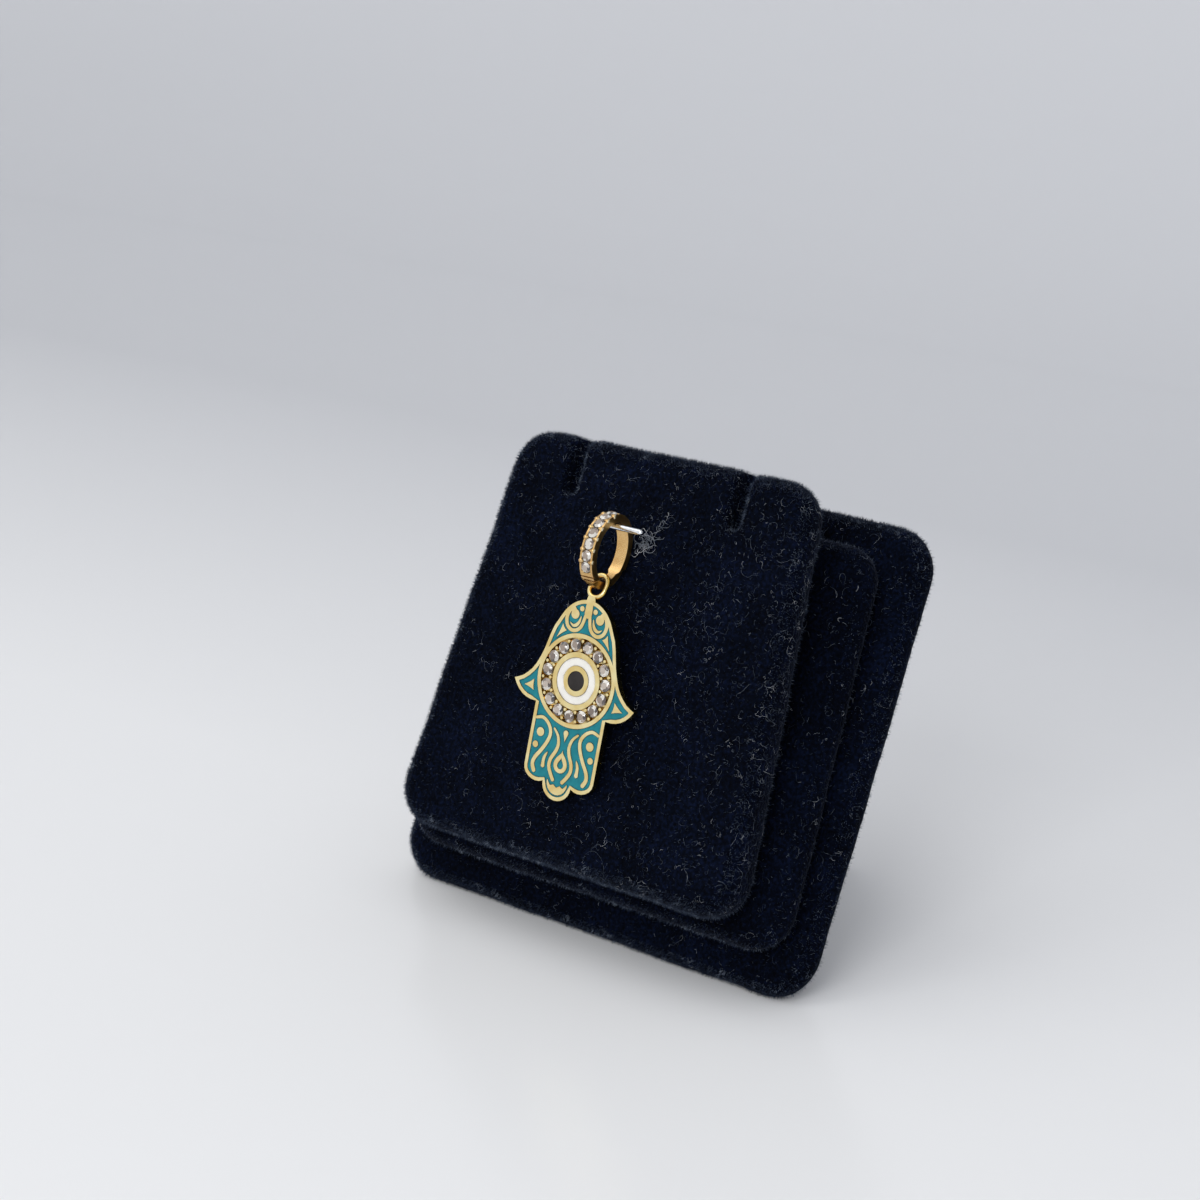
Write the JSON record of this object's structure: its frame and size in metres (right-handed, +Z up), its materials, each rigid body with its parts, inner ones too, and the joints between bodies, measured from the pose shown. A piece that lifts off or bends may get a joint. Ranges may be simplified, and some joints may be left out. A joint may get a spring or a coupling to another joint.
{
  "type": "hamsa pendant on display stand",
  "caption": "Gold and enamel hand-shaped pendant with a stone-ringed eye, hanging by a stone-set bail from a pin on a sloping three-step velvet stand.",
  "frame": {"origin": "middle of the stand's footprint on the surface it stands on, which is the bottom centre of the whole object's box", "axes": "+X to the viewer's right, +Y from the pendant back to the strut, +Z up"},
  "size_m": [0.053, 0.0377, 0.0492],
  "materials": {
    "velvet": "near-black velvet with a blue tint",
    "steel": "polished steel wire",
    "gold": "yellow gold, satin faces and polished edges",
    "teal": "teal enamel, ground level and glossy",
    "white": "white enamel, glossy",
    "black": "black enamel, glossy",
    "stone": "clear cut stones"
  },
  "bodies": {
    "stand": {"back_board": "velvet", "middle_step": "velvet", "front_pad": "velvet", "strut": "velvet", "display_pin": "steel"},
    "bail": {"bail": "gold", "bail_stone_1": "stone", "bail_stone_2": "stone", "bail_stone_3": "stone", "bail_stone_4": "stone", "bail_stone_5": "stone", "bail_stone_6": "stone", "bail_stone_7": "stone"},
    "hand": {"hand": "gold", "teal_enamel": "teal", "white_enamel": "white", "black_enamel": "black", "eye_stone_1": "stone", "eye_stone_2": "stone", "eye_stone_3": "stone", "eye_stone_4": "stone", "eye_stone_5": "stone", "eye_stone_6": "stone", "eye_stone_7": "stone", "eye_stone_8": "stone", "eye_stone_9": "stone", "eye_stone_10": "stone", "eye_stone_11": "stone", "eye_stone_12": "stone", "eye_stone_13": "stone", "eye_stone_14": "stone", "eye_stone_15": "stone"}
  },
  "joints": [
    {"name": "bail_swing", "type": "hinge", "parent": "stand", "child": "bail", "pos_m": [-0.0016, -0.00862, 0.04351], "axis": [-1, 0, 0], "range_deg": [0, 40]},
    {"name": "hand_swing", "type": "hinge", "parent": "bail", "child": "hand", "pos_m": [-0.0016, -0.00955, 0.03843], "axis": [-1, 0, 0], "range_deg": [0, 30]}
  ]
}
